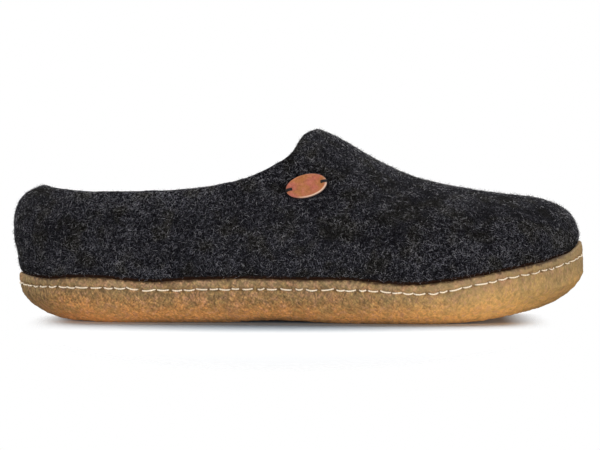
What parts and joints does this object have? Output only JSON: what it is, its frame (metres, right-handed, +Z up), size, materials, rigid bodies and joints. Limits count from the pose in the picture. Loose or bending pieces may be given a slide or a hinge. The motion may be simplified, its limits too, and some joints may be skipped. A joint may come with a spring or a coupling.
{
  "type": "house slipper",
  "caption": "Slip-on house slipper for the right foot: a seamless wool-felt upper with a low heel and a raised throat, set in a crepe-rubber cup sole with a stitched rim.",
  "frame": {"origin": "on the floor, under the middle of the slipper's bounding box", "axes": "+X towards the toe, +Z up, -Y towards the outer (lateral) side of a right foot"},
  "size_m": [0.2844, 0.1016, 0.0942],
  "materials": {
    "felt": "matte mottled charcoal wool felt",
    "crepe": "matte natural crepe rubber",
    "insole_felt": "matte grey wool felt",
    "leather": "satin tan leather"
  },
  "bodies": {
    "root": {"upper": "felt", "outsole": "crepe", "insole": "insole_felt", "leather_tag": "leather"}
  },
  "joints": []
}
